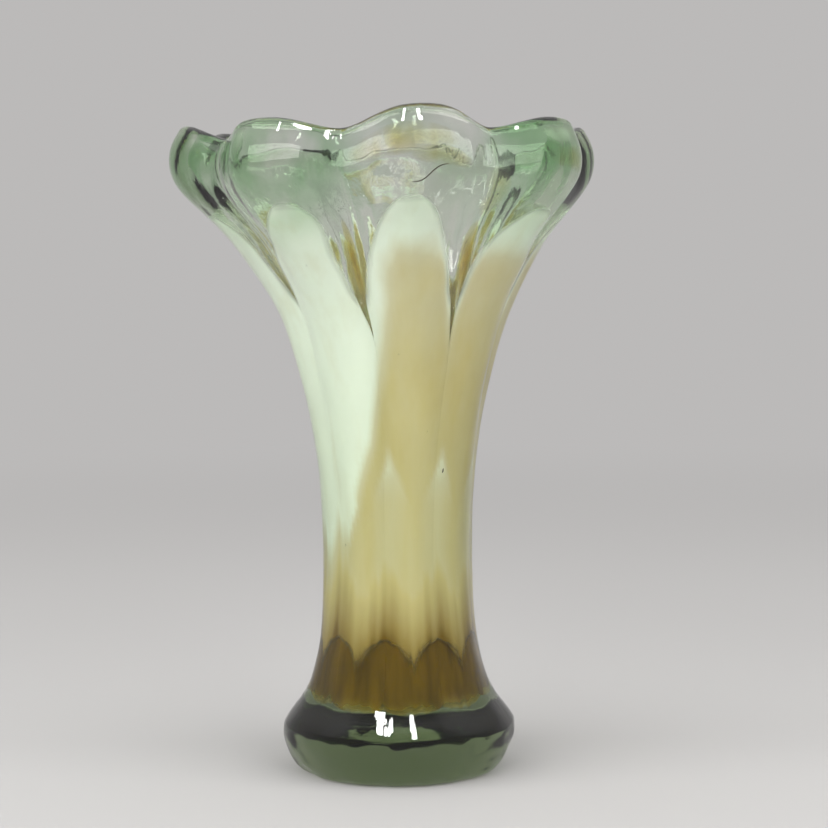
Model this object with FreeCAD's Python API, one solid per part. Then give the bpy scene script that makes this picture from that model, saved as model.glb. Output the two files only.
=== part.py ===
"""Hand blown art glass vase: clear ribbed casing, clear foot, opal and amber petals.

Millimetres, +Z up. The origin is on the table, under the middle of the mouth. Angles are
measured round the vase from the front (-Y), positive towards +X.

The coloured petals lie inside the thickness of the clear casing, so the casing has one
void for each of them, and the glass of one touches the glass of the next face to face.
"""

import FreeCAD, Part
import math
import os

# ---- Driving dimensions ------------------------------------------------------------------

RIB_COUNT = 8                   # optic ribs, which open into the lobes of the mouth
RIB_PITCH = 360.0 / RIB_COUNT   # degrees
FIRST_CREST = 11.5              # degrees, crest of the rib nearest the front
GROOVE_SHARPNESS = 1.35         # above 1 the grooves are narrower than the crests

SEAM_Z = 19.4                   # where the body is fused to its foot
FLOOR_Z = 21.4                  # inside floor of the vase
FLOOR_FLAT_R = 13.0             # flat middle of the floor
BODY_OFFSET_X = 4.2             # foot and waist stand this far to the right of the mouth
OFFSET_ENDS = (172.0, 244.0)    # heights between which the offset dies away

# Outside of the vase along a rib's crest, from the foot's contact ring to the lip:
# (height, radius, depth of the groove beside it, how far the groove's glass hangs lower)
FOOT_PROFILE = [
    (0.0, 36.4, 0.5, 0.0),
    (0.5, 38.4, 0.7, 0.0),
    (1.9, 40.6, 0.8, 0.0),
    (4.4, 42.6, 0.8, 0.0),
    (8.0, 44.4, 0.7, 0.0),
    (12.0, 45.8, 0.5, 0.0),
    (16.0, 46.3, 0.4, 0.0),
    (SEAM_Z, 45.7, 0.4, 0.0),
]

# The same for the body, with the wall's thickness as a fifth value.
BODY_PROFILE = [
    (SEAM_Z, 45.7, 0.4, 0.0, 24.4),
    (22.0, 44.0, 0.4, 0.0, 22.8),
    (25.0, 41.7, 0.4, 0.0, 20.6),
    (29.0, 38.8, 0.4, 0.0, 18.4),
    (34.0, 36.1, 0.5, 0.0, 16.2),
    (40.0, 34.0, 0.5, 0.0, 14.5),
    (52.0, 31.4, 0.6, 0.0, 12.5),
    (68.0, 30.2, 0.6, 0.0, 11.4),
    (84.0, 29.9, 0.7, 0.0, 10.6),
    (100.0, 30.1, 0.7, 0.0, 10.0),
    (116.0, 31.1, 0.8, 0.0, 9.4),
    (132.0, 33.1, 1.0, 0.0, 8.7),
    (146.0, 35.7, 1.4, 0.0, 8.0),
    (160.0, 39.3, 1.9, 0.0, 7.4),
    (174.0, 43.6, 2.6, 0.1, 6.8),
    (188.0, 49.5, 3.5, 0.3, 6.3),
    (200.0, 56.2, 4.6, 0.7, 6.0),
    (210.0, 62.6, 5.7, 1.2, 5.8),
    (219.0, 70.4, 7.0, 2.0, 5.8),
    (227.0, 77.6, 8.2, 2.9, 5.9),
    (234.0, 82.2, 9.0, 3.8, 6.1),
    (241.0, 83.8, 9.4, 4.6, 6.3),
    (247.5, 82.8, 9.2, 5.2, 6.4),
    (253.2, 80.0, 8.4, 5.6, 6.5),
]
GROOVE_THINNING = 0.25          # wall lost in a groove, as a share of the groove's depth
SQUARE_WALL = (60.0, 110.0)     # below, thickness is measured level; above, square to the wall

# Inside of the heel, below the wall, down to the flat floor: (height, radius)
HEEL_START_Z = 40.0             # the wall's own inner face ends at this station
HEEL_PROFILE = [
    (33.0, 20.1),
    (26.4, 20.6),
    (23.2, 20.0),
    (21.8, 18.2),
    (FLOOR_Z, 15.6),
    (FLOOR_Z, FLOOR_FLAT_R),
]

# How each lobe differs from the average, from the front lobe round to the right.
LOBE_REACH = [0.0, 1.0, 0.9, 0.2, 0.5, -0.4, 0.2, 0.2]
LOBE_RISE = [0.3, -2.4, -1.5, 0.2, -1.2, -0.3, -2.3, -3.6]
LOBE_START_Z = 170.0            # the lobes differ only above this height
LOBE_FULL_Z = 240.0

RECESS_R = 24.0                 # ground hollow under the foot, where the pontil was
RECESS_DEPTH = 2.5

# Petals: the opal layer lies outside the amber one. Depths are measured from the inner face.
OPAL_DEPTHS = (1.7, 3.2)
AMBER_DEPTHS = (0.6, 1.4)
HEEL_SPREAD = 5.0               # extra depth of both layers at the heel, where they flare out
HEEL_SPREAD_ENDS = (36.0, 96.0)
PETAL_FULL_HALF = 21.4          # degrees each side, where neighbouring petals nearly meet
OPAL_BOTTOM_Z = 35.0
OPAL_TOP_Z = 222.0
AMBER_BOTTOM_Z = 26.0
AMBER_TOP_Z = 217.0
OPAL_SHOULDERS = (17.0, 64.0)   # heights over which the lower and upper ends widen
AMBER_SHOULDERS = (9.0, 68.0)
PETAL_TOP_VARIATION = [0.0, -1.5, 1.0, -1.5, 0.5, 1.5, -2.0, 0.5]
PETAL_END_SHARE = 0.15          # width left at a petal's blunt end

# ---- Fineness of the surfaces ------------------------------------------------------------

POINTS_PER_RIB = 6
LIP_STEPS = 6
PETAL_COLUMNS = 7
PETAL_ROWS = 15
SLOPE_STEP = 0.01               # part of a station either side, between which slopes are taken
PLACE_TOLERANCE = 1e-6          # part of a station


# ---- Smooth functions --------------------------------------------------------------------

def smooth_step(value, low, high):
    """0 below low, 1 above high, and an S curve between them."""
    share = min(max((value - low) / (high - low), 0.0), 1.0)
    return share * share * (3.0 - 2.0 * share)


def natural_spline(values):
    """Natural cubic spline through equally spaced values, as a function of the index."""
    count = len(values)
    above = [0.0] * count
    moment = [0.0] * count
    for index in range(1, count - 1):
        bend = 6.0 * (values[index + 1] - 2.0 * values[index] + values[index - 1])
        pivot = 4.0 - above[index - 1]
        above[index] = 1.0 / pivot
        moment[index] = (bend - moment[index - 1]) / pivot
    for index in range(count - 3, 0, -1):
        moment[index] -= above[index] * moment[index + 1]

    def evaluate(place):
        index = min(max(int(place), 0), count - 2)
        right = place - index
        left = 1.0 - right
        line = left * values[index] + right * values[index + 1]
        curl_left = (left ** 3 - left) * moment[index] / 6.0
        curl_right = (right ** 3 - right) * moment[index + 1] / 6.0
        return line + curl_left + curl_right

    return evaluate


def profile_splines(profile):
    """One spline for each column of a profile."""
    return [natural_spline(list(column)) for column in zip(*profile)]


FOOT = profile_splines(FOOT_PROFILE)
BODY = profile_splines(BODY_PROFILE)
BODY_END = len(BODY_PROFILE) - 1


def place_of_height(height):
    """Index, with a fraction, of a height on the body's profile."""
    low = 0.0
    high = float(BODY_END)
    while high - low > PLACE_TOLERANCE:
        middle = (low + high) / 2.0
        if BODY[0](middle) < height:
            low = middle
        else:
            high = middle
    return low


# ---- The ribbed wall ---------------------------------------------------------------------

def groove(angle):
    """0 on a rib's crest and 1 at the bottom of a groove."""
    wave = 0.5 - 0.5 * math.cos(math.radians(RIB_COUNT * (angle - FIRST_CREST)))
    return wave ** GROOVE_SHARPNESS


def lobe_value(values, angle):
    """Blend of the two lobes nearest an angle."""
    place = (angle - FIRST_CREST) / RIB_PITCH
    left = math.floor(place)
    blend = smooth_step(place - left, 0.0, 1.0)
    first = values[left % RIB_COUNT]
    second = values[(left + 1) % RIB_COUNT]
    return first + (second - first) * blend


def outer_section(columns, place, angle):
    """(radius, height) of the outside at one place on the profile and one angle."""
    height = columns[0](place)
    hollow = groove(angle)
    lobe = smooth_step(height, LOBE_START_Z, LOBE_FULL_Z)
    radius = columns[1](place) - hollow * columns[2](place)
    radius += lobe * lobe_value(LOBE_REACH, angle)
    lowered = height - hollow * columns[3](place)
    lowered += lobe * lobe_value(LOBE_RISE, angle)
    return radius, lowered


def wall_frame(place, angle):
    """Outer point, outward normal and thickness of the wall, in its meridian plane."""
    low = max(place - SLOPE_STEP, 0.0)
    high = min(place + SLOPE_STEP, float(BODY_END))
    low_r, low_z = outer_section(BODY, low, angle)
    high_r, high_z = outer_section(BODY, high, angle)
    rise = high_z - low_z
    spread = (high_r - low_r) * smooth_step(low_z, *SQUARE_WALL)
    length = math.hypot(rise, spread)
    normal = (rise / length, -spread / length)
    thickness = BODY[4](place) - GROOVE_THINNING * groove(angle) * BODY[2](place)
    return outer_section(BODY, place, angle), normal, thickness


def wall_point(place, angle, depth):
    """(radius, height) at a depth into the wall, measured from its inner face."""
    (radius, height), normal, thickness = wall_frame(place, angle)
    inward = thickness - depth
    return radius - inward * normal[0], height - inward * normal[1]


def lip_point(angle, turn):
    """(radius, height) on the rounded lip, turn radians over from its outer side."""
    (radius, height), normal, thickness = wall_frame(float(BODY_END), angle)
    round_r = thickness / 2.0
    along = (-normal[1], normal[0])
    centre_r = radius - round_r * normal[0]
    centre_z = height - round_r * normal[1]
    out_r = math.cos(turn) * normal[0] + math.sin(turn) * along[0]
    out_z = math.cos(turn) * normal[1] + math.sin(turn) * along[1]
    return centre_r + round_r * out_r, centre_z + round_r * out_z


def in_space(radius, height, angle):
    """Point in the vase's own frame, with the body's offset from the mouth."""
    offset = BODY_OFFSET_X * (1.0 - smooth_step(height, *OFFSET_ENDS))
    turn = math.radians(angle)
    return FreeCAD.Vector(offset + radius * math.sin(turn), -radius * math.cos(turn), height)


def ring(section):
    """Closed ring of points, from a function of the angle that gives (radius, height)."""
    count = RIB_COUNT * POINTS_PER_RIB
    angles = [360.0 * index / count for index in range(count)]
    return [in_space(*section(angle), angle) for angle in angles]


# ---- Solids from points ------------------------------------------------------------------

def curve_poles(points, places, closed):
    """Smooth curve that passes the points at the given places, as a B-spline."""
    curve = Part.BSplineCurve()
    curve.interpolate(Points=points, PeriodicFlag=closed, Parameters=places)
    return curve


def running_length(points):
    """Distance from the first point to each of the points, along them."""
    lengths = [0.0]
    for before, after in zip(points, points[1:]):
        lengths.append(lengths[-1] + before.distanceToPoint(after))
    return lengths


def grid_surface(rows, closed):
    """Smooth surface through rows of points; closed if each row is a ring."""
    count = len(rows[0])
    row_places = [float(index) for index in range(count + 1 if closed else count)]
    across = [curve_poles(row, row_places, closed) for row in rows]
    along_places = running_length([row[0] for row in rows])
    columns = zip(*[curve.getPoles() for curve in across])
    along = [curve_poles(list(column), along_places, False) for column in columns]
    poles = [list(row) for row in zip(*[curve.getPoles() for curve in along])]
    surface = Part.BSplineSurface()
    surface.buildFromPolesMultsKnots(
        poles, along[0].getMultiplicities(), across[0].getMultiplicities(),
        along[0].getKnots(), across[0].getKnots(),
        False, closed, along[0].Degree, across[0].Degree)
    return surface


def closed_solid(faces):
    """Solid inside faces that meet edge to edge."""
    shell = Part.makeShell(faces)
    shell.sewShape()
    solid = Part.Solid(shell)
    if solid.Volume < 0.0:
        solid.reverse()
    return solid


def capped_solid(rings):
    """Solid from rings whose first and last are flat. Its side is two faces."""
    side = grid_surface(rings, True)
    ends = [edge for edge in side.toShape().Edges if edge.isClosed()]
    faces = [Part.Face(Part.Wire([edge])) for edge in ends]
    along = side.getUKnots()
    around = side.getVKnots()
    middle = along[len(along) // 2]
    for first, last in ((along[0], middle), (middle, along[-1])):
        half = side.copy()
        half.segment(first, last, around[0], around[-1])
        faces.append(half.toShape())
    return closed_solid(faces)


def slab_solid(outer_rows, inner_rows):
    """Solid between two grids of points, with straight edges through its thickness."""
    outer = grid_surface(outer_rows, False).toShape()
    inner = grid_surface(inner_rows, False).toShape()
    rims = [Part.makeRuledSurface(first, second)
            for first, second in zip(outer.Edges, inner.Edges)]
    return closed_solid([outer, inner] + rims)


# ---- Sub-parts ---------------------------------------------------------------------------

def clear_foot():
    """Thick clear foot: rounded edge, flat contact ring and a ground hollow underneath."""
    rings = [ring(lambda angle, station=station: outer_section(FOOT, station, angle))
             for station in range(len(FOOT_PROFILE))]
    foot = capped_solid(rings)
    ball_r = (RECESS_R ** 2 + RECESS_DEPTH ** 2) / (2.0 * RECESS_DEPTH)
    centre = FreeCAD.Vector(BODY_OFFSET_X, 0.0, RECESS_DEPTH - ball_r)
    return foot.cut(Part.makeSphere(ball_r, centre))


def casing_rings():
    """Rings up the outside of the body, over the lip and down to the inside floor."""
    rings = [ring(lambda angle, station=station: outer_section(BODY, station, angle))
             for station in range(BODY_END + 1)]
    for step in range(1, LIP_STEPS):
        turn = math.pi * step / LIP_STEPS
        rings.append(ring(lambda angle, turn=turn: lip_point(angle, turn)))
    heel_station = [row[0] for row in BODY_PROFILE].index(HEEL_START_Z)
    for station in range(BODY_END, heel_station - 1, -1):
        rings.append(ring(lambda angle, station=station: wall_point(station, angle, 0.0)))
    for height, radius in HEEL_PROFILE:
        rings.append(ring(lambda angle, radius=radius, height=height: (radius, height)))
    return rings


def end_share(height, bottom, top, shoulders):
    """Width of a petal at a height, 0 at its ends and 1 between its shoulders."""
    from_bottom = min(max((height - bottom) / shoulders[0], 0.0), 1.0)
    from_top = min(max((top - height) / shoulders[1], 0.0), 1.0)
    lower = math.sqrt(1.0 - (1.0 - from_bottom) ** 2)
    upper = math.sqrt(1.0 - (1.0 - from_top) ** 2)
    share = lower * upper
    return PETAL_END_SHARE + (1.0 - PETAL_END_SHARE) * share


def petal(crest, bottom, top, shoulders, depths):
    """One petal of coloured glass that follows the wall from bottom to top."""
    outer_rows = []
    inner_rows = []
    for row in range(PETAL_ROWS + 1):
        share_up = 0.5 - 0.5 * math.cos(math.pi * row / PETAL_ROWS)
        height = bottom + (top - bottom) * share_up
        place = place_of_height(height)
        half_width = PETAL_FULL_HALF * end_share(height, bottom, top, shoulders)
        angles = [crest + half_width * (2.0 * column / (PETAL_COLUMNS - 1) - 1.0)
                  for column in range(PETAL_COLUMNS)]
        spread = HEEL_SPREAD * (1.0 - smooth_step(height, *HEEL_SPREAD_ENDS))
        for rows, depth in ((inner_rows, depths[0]), (outer_rows, depths[1])):
            rows.append([in_space(*wall_point(place, angle, depth + spread), angle)
                         for angle in angles])
    return slab_solid(outer_rows, inner_rows)


def opal_petal(number):
    """Opal white petal, behind the outer face of one rib."""
    crest = FIRST_CREST + RIB_PITCH * number
    top = OPAL_TOP_Z + PETAL_TOP_VARIATION[number]
    return petal(crest, OPAL_BOTTOM_Z, top, OPAL_SHOULDERS, OPAL_DEPTHS)


def amber_petal(number):
    """Amber petal that backs an opal one and runs on below it to the heel."""
    crest = FIRST_CREST + RIB_PITCH * number
    top = AMBER_TOP_Z + PETAL_TOP_VARIATION[number]
    return petal(crest, AMBER_BOTTOM_Z, top, AMBER_SHOULDERS, AMBER_DEPTHS)


def clear_casing(petals):
    """Clear ribbed body with the lobed mouth, hollow, and a void for every petal."""
    casing = capped_solid(casing_rings())
    return casing.cut(petals)


def main():
    os.makedirs("parts", exist_ok=True)
    petals = {}
    for number in range(RIB_COUNT):
        petals[f"opal_petal_{number + 1}"] = opal_petal(number)
        petals[f"amber_petal_{number + 1}"] = amber_petal(number)
    parts = {"clear_foot": clear_foot(), "clear_casing": clear_casing(list(petals.values()))}
    parts.update(petals)
    for name, shape in parts.items():
        shape.exportStep(f"parts/{name}.step")
        print(name, "valid", shape.isValid(), "volume", round(shape.Volume, 1))


main()
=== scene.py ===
"""Looks of the hand blown art glass vase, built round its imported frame.

The shape functions are the same as the CAD part's, in millimetres, and meshes are made in
metres. Angles are degrees round the vase from the front (-Y), positive towards +X.
"""

import math

import bpy
import numpy as np
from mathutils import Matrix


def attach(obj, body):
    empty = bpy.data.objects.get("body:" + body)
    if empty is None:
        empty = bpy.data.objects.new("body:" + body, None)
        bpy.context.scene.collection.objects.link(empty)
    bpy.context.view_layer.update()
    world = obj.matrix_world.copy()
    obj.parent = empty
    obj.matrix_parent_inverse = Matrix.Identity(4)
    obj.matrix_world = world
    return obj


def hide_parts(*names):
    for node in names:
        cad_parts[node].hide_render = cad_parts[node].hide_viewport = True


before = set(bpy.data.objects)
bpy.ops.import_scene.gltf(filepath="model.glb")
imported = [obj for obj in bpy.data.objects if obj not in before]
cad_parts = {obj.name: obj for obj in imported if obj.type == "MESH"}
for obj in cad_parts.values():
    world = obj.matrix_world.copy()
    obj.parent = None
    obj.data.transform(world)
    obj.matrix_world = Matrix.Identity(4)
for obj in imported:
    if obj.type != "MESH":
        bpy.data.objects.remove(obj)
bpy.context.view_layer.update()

MM = 0.001

# ---- Shape of the glass, as in the CAD part ----------------------------------------------

RIB_COUNT = 8
RIB_PITCH = 360.0 / RIB_COUNT
FIRST_CREST = 11.5
GROOVE_SHARPNESS = 1.35
SEAM_Z = 19.4
FLOOR_Z = 21.4
FLOOR_FLAT_R = 13.0
BODY_OFFSET_X = 4.2
OFFSET_ENDS = (172.0, 244.0)
GROOVE_THINNING = 0.25
SQUARE_WALL = (60.0, 110.0)
HEEL_START_Z = 40.0
RECESS_R = 24.0
RECESS_DEPTH = 2.5

# (height, radius, groove's depth, groove's drop)
FOOT_PROFILE = [
    (0.0, 36.4, 0.5, 0.0),
    (0.5, 38.4, 0.7, 0.0),
    (1.9, 40.6, 0.8, 0.0),
    (4.4, 42.6, 0.8, 0.0),
    (8.0, 44.4, 0.7, 0.0),
    (12.0, 45.8, 0.5, 0.0),
    (16.0, 46.3, 0.4, 0.0),
    (SEAM_Z, 45.7, 0.4, 0.0),
]

# The same with the wall's thickness as a fifth value.
BODY_PROFILE = [
    (SEAM_Z, 45.7, 0.4, 0.0, 24.4),
    (22.0, 44.0, 0.4, 0.0, 22.8),
    (25.0, 41.7, 0.4, 0.0, 20.6),
    (29.0, 38.8, 0.4, 0.0, 18.4),
    (34.0, 36.1, 0.5, 0.0, 16.2),
    (40.0, 34.0, 0.5, 0.0, 14.5),
    (52.0, 31.4, 0.6, 0.0, 12.5),
    (68.0, 30.2, 0.6, 0.0, 11.4),
    (84.0, 29.9, 0.7, 0.0, 10.6),
    (100.0, 30.1, 0.7, 0.0, 10.0),
    (116.0, 31.1, 0.8, 0.0, 9.4),
    (132.0, 33.1, 1.0, 0.0, 8.7),
    (146.0, 35.7, 1.4, 0.0, 8.0),
    (160.0, 39.3, 1.9, 0.0, 7.4),
    (174.0, 43.6, 2.6, 0.1, 6.8),
    (188.0, 49.5, 3.5, 0.3, 6.3),
    (200.0, 56.2, 4.6, 0.7, 6.0),
    (210.0, 62.6, 5.7, 1.2, 5.8),
    (219.0, 70.4, 7.0, 2.0, 5.8),
    (227.0, 77.6, 8.2, 2.9, 5.9),
    (234.0, 82.2, 9.0, 3.8, 6.1),
    (241.0, 83.8, 9.4, 4.6, 6.3),
    (247.5, 82.8, 9.2, 5.2, 6.4),
    (253.2, 80.0, 8.4, 5.6, 6.5),
]
HEEL_PROFILE = [
    (33.0, 20.1),
    (26.4, 20.6),
    (23.2, 20.0),
    (21.8, 18.2),
    (FLOOR_Z, 15.6),
    (FLOOR_Z, FLOOR_FLAT_R),
]
HEEL_ROUND_BY = 1.5                 # stations down the heel where its rings are round
LOBE_REACH = [0.0, 1.0, 0.9, 0.2, 0.5, -0.4, 0.2, 0.2]
LOBE_RISE = [0.3, -2.4, -1.5, 0.2, -1.2, -0.3, -2.3, -3.6]
LOBE_START_Z = 170.0
LOBE_FULL_Z = 240.0

# ---- Unevenness of the hand made glass ---------------------------------------------------

MOUTH_UNEVEN = (150.0, 225.0)       # heights over which the wall grows more uneven
FOOT_UNEVEN = (18.0, 40.0)          # and over which it grows less so above the foot
WAVES = (0.10, 0.16, 0.12)          # everywhere, and more at the mouth and at the foot
STREAKS = (0.02, 0.05)              # everywhere, and more at the mouth
FOLD_HEIGHT = 0.30
FOLD_LINE_DEPTH = 0.65              # of the crease along each groove
FOLD_LINE_HALF = 2.2                # degrees
FOLD_LINE_ENDS = (120.0, 215.0)
OUTER_INSET = 0.12                  # keeps the waves' crests inside the CAD part's size
INNER_WAVES = (0.06, 0.14)
INNER_FOLD_HEIGHT = 0.18
INNER_INSET = 0.05
INNER_SETTLES = 20.0                # height over which the inside grows uneven above the heel
OUTER_FLANKS = (15.0, 5.0)          # degrees from a rib's crest to its folds, and their spread
INNER_FLANKS = (14.0, 6.0)
PRESSED_HEIGHT = 0.5                # of the ripples that pressing left round the foot
RING_MARK_HEIGHT = 0.14             # of the tool's rings on the foot
PRESSED_LOSS = 0.6                  # share of both that the foot's side loses
FOOT_SETTLED = (0.5, 6.0)           # heights over which the foot takes the wall's waves
FOOT_SEAM_FADE = (15.0, 19.0)

# Patterns of ripples: a seed, waves round the vase and waves per millimetre of its height.
WAVE_SEED = 3                       # the broad waves have ripple's own numbers
INNER_WAVE_SEED = 8
STREAK_RIPPLE = (5, (31, 44, 57), (0.006, 0.009, 0.014))
FOLD_RIPPLE = (11, (19, 31, 47), (0.008, 0.014, 0.011))
INNER_FOLD_RIPPLE = (17, (17, 29, 43), (0.009, 0.013, 0.016))
PRESSED_RIPPLE = (29, (5, 9, 14, 22), (0.03, 0.05, 0.08, 0.06))
RING_MARK_RIPPLE = (31, (1, 2, 3, 5), (0.09, 0.13, 0.18, 0.22))
GREEN_RIPPLE = (53, (4, 7, 11), (0.010, 0.017, 0.026))

# Bubbles: angle, height, share of the wall's thickness, size and stretch, or ranges of them.
STRING_SEEDS = 40                   # small ones in strings along the grooves
STRING_SPREAD = 4.0                 # degrees from the groove
STRING_RANGES = ((180.0, 244.0), (0.25, 0.6), (0.18, 0.42), (1.0, 2.4))     # with no angle
STRAY_SEEDS = 22
STRAY_RANGES = ((0.0, 360.0), (60.0, 246.0), (0.45, 0.85), (0.12, 0.26), (1.0, 2.0))
LONG_BUBBLE = (FIRST_CREST + 20.0, 204.0, 0.55, 0.42, 9.0)
LEAST_OUTWARD = 0.2                 # of the wall's normal, where it sets a bubble's lean

GREEN_HEIGHTS = (195.0, 242.0)      # where the glass near the mouth turns green
GREEN_FROM_FRONT = (12.0, 32.0)     # degrees from the front lobe's crest
GREEN_TO_BACK = (110.0, 145.0)      # degrees from the front, where it clears again
GREEN_SHARES = (0.15, 0.75, 0.4)    # everywhere, more at the sides, and of the ripples
BACK_GREEN_LOSS = 0.85
LOBE_FOLDS = [0.5, 1.2, 1.0, 0.9, 1.0, 1.0, 1.4, 1.3]     # how creased each lobe's flanks are

# ---- Coloured petals ---------------------------------------------------------------------

OPAL_DEPTHS = (1.7, 3.2)
AMBER_DEPTHS = (0.6, 1.4)
HEEL_SPREAD = 5.0               # extra depth of both layers at the heel, where they flare out
HEEL_SPREAD_ENDS = (36.0, 96.0)
OPAL_ENDS = (37.0, 222.0)
AMBER_ENDS = (22.8, 217.0)
OPAL_SHOULDERS = (17.0, 66.0)
AMBER_SHOULDERS = (4.0, 70.0)
PETAL_TOP_VARIATION = [0.0, -1.5, 1.0, -1.5, 0.5, 1.5, -2.0, 0.5]
PETAL_HALF = 23.2               # degrees; neighbours' thin edges cross by a little
OPAL_MERGED_HALF = 26.0         # the same lower down, where the petals have run together
AMBER_MERGED_HALF = 22.7
MERGED_BELOW = (122.0, 160.0)
PETAL_WOBBLE = 0.035            # share by which the width wanders
WOBBLE_RATE = 0.11              # radians per millimetre of height
WOBBLE_STEP = 2.3               # radians from one petal to the next
WOBBLE_STOPS = (0.93, 1.0)      # where a petal is about as wide as it gets
PETAL_SPAN = (0.02, 0.988)      # of the half circle that spaces its rings
BULGE_SHAPE = 0.5               # power that makes a petal's section blunt

# Degrees that each petal leans from its rib where it stands free, and then at its tip.
PETAL_LEAN = [-4.5, -2.5, 2.0, -3.0, 2.5, -2.0, -1.5, -5.5]
TIP_LEAN = [-3.3, 1.0, 1.0, -1.5, 1.0, -1.0, 2.0, 2.4]
LEAN_HEIGHTS = (158.0, 190.0)
TIP_HEIGHTS = (200.0, 222.0)

# The opal is painted cream over the right of the vase. Its left border slants as it goes
# down, and its lower border is a zigzag: low on each rib, high in each groove.
CREAM_BORDER_Z = (88.0, 110.0, 130.0, 160.0, 190.0, 222.0)
CREAM_BORDER_ANGLE = (-48.0, -36.0, -20.0, -9.0, -3.0, 0.0)
CREAM_BACK_ANGLE = (148.0, 176.0)
CREAM_LOW_Z = 92.0
CREAM_ZIGZAG = 32.0
CREAM_ZIGZAG_SHIFT = 5.5        # degrees right of the ribs

# Tone of the opal glass at heights over the heel, and how much higher it is in the grooves.
HEEL_TONE_Z = (42.5, 45.5, 49.0, 56.0, 67.0, 92.0)
HEEL_TONE = (1.0, 0.93, 0.84, 0.70, 0.52, 0.0)
HEEL_PEAK = 10.0
HEEL_PEAK_FLANK = (3.0, 16.0)   # degrees from a rib's crest
HEEL_STREAK_HEIGHT = 3.0

# Upright streaks round the heel: the height they are taken at, a seed and waves round the vase.
BROAD_STREAKS = (10.0, 41, (9, 14, 22, 37))
FINE_STREAKS = (25.0, 43, (29, 47))
FINE_STRENGTH = 0.4

CREAM_TONE = 0.5
CREAM_STRENGTH = 0.92
CREAM_FADES = ((150.0, 190.0, 0.22), (194.0, 211.0, 0.7))  # heights, and how much it loses
CREAM_SIDE_BLEND = (-6.0, 8.0)  # degrees from the left border
CREAM_LOW_BLEND = (-5.0, 8.0)   # millimetres from the zigzag
WHITE_RIM = (0.8, 4.2)          # millimetres from the edge where a petal stands free
FREE_ABOVE = (160.0, 192.0)

# Pale cream under the zigzag: its tone left of the border and how much more right of it, and
# where it ends.
PALE_TONE = (0.68, 0.24)
PALE_TOP = (62.0, 92.0)
PALE_TOP_MORE = (42.0, 44.0)

# How solid the opal glass is, from its edge inwards in millimetres and at heights.
OPAL_POINT = 0.52               # shape of its lower end, for petal_width
OPAL_SOFT_EDGE = (-0.6, 3.2)
OPAL_JOINS = (51.0, 60.0)       # heights over which neighbours run together
OPAL_PARTS = (165.0, 190.0)     # and over which they part again
OPAL_START = (37.0, 43.0)
OPAL_START_STREAKS = 2.0
OPAL_RAGGED = (1.3, 0.8)        # taken off its lower edge, evenly and in streaks
OPAL_RAGGED_ENDS = (54.0, 64.0)
RAGGED_FINENESS = 3.0
FAR_FROM_EDGE = 8.0             # millimetres, where neighbours have run together

# The same for the amber glass.
AMBER_POINT = 2.2
AMBER_SOFT_EDGE = (0.0, 4.0)
AMBER_PARTS = (150.0, 185.0)
AMBER_START = (22.0, 30.0)
AMBER_START_STREAKS = 1.5
AMBER_THINS = ((56.0, 90.0, 0.6), (150.0, 190.0, 0.2))      # heights, and how much it loses

# ---- Places of the streaks, stains and threads -------------------------------------------

# (name, degrees, height, half its degrees, half its height, share of the wall's thickness)
AMBER_STREAKS = [
    ("amber_streak_left", -15.5, 200.0, 1.8, 17.0, 0.3),
    ("amber_streak_right", 34.0, 199.0, 4.2, 17.0, 0.3),
]
AMBER_STAINS = [
    ("amber_stain_front", FIRST_CREST - 6.0, 243.0, 15.0, 7.0, 0.45),
    ("amber_stain_front_low", FIRST_CREST + 5.0, 236.0, 9.0, 4.0, 0.6),
    ("amber_stain_valley", FIRST_CREST + 24.0, 228.0, 5.0, 11.0, 0.5),
    ("amber_stain_right", FIRST_CREST + 48.0, 240.0, 10.0, 5.0, 0.5),
    ("amber_stain_back", FIRST_CREST + 170.0, 238.0, 14.0, 6.0, 0.5),
]
# (name, route of degrees and heights, radius)
DARK_THREADS = [
    ("dark_stringer", [(8.0, 226.2), (10.6, 226.6), (12.8, 228.9), (15.0, 231.6), (17.6, 233.0)],
     0.26),
    ("dark_speck", [(38.2, 118.4), (38.6, 119.2), (38.9, 120.2)], 0.34),
]
STAIN_ENDS = 0.06               # radians left out where its rings would be tiny
STAIN_HALF_THICK = 0.05         # share of the wall's thickness
STAIN_FADE = 0.8                # power by which it fades towards its rim
THREAD_SHARE = 0.62             # of the wall's thickness
THREAD_END_THICK = 0.25         # share of its radius
THREAD_TAPER = 0.5              # power

# ---- Fineness of the meshes --------------------------------------------------------------

GLASS_ANGLES = 336
FOOT_ROWS_PER_STATION = 4
BODY_ROWS_PER_STATION = 5
INNER_ROWS_PER_STATION = 4
LIP_ROWS = 14
PETAL_RING = 48
PETAL_ROWS = 96
RECESS_ROWS = 10
CENTRE_RING_R = 1.5             # of the smallest ring round a centre point
CONTACT_RINGS = (25.0, 28.0, 32.0)
FLOOR_RINGS = (9.0, 5.0, CENTRE_RING_R)
HEEL_ROWS_PER_STATION = 4
BUBBLE_ROWS = 7
BUBBLE_RING = 10
STAIN_ROWS = 22
STAIN_RING = 48
THREAD_RING = 10
THREAD_ROWS_PER_POINT = 12


# ---- Shape functions ---------------------------------------------------------------------

def smooth_step(value, low, high):
    """0 below low, 1 above high, and an S curve between them."""
    share = np.clip((np.asarray(value, float) - low) / (high - low), 0.0, 1.0)
    return share * share * (3.0 - 2.0 * share)


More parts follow.
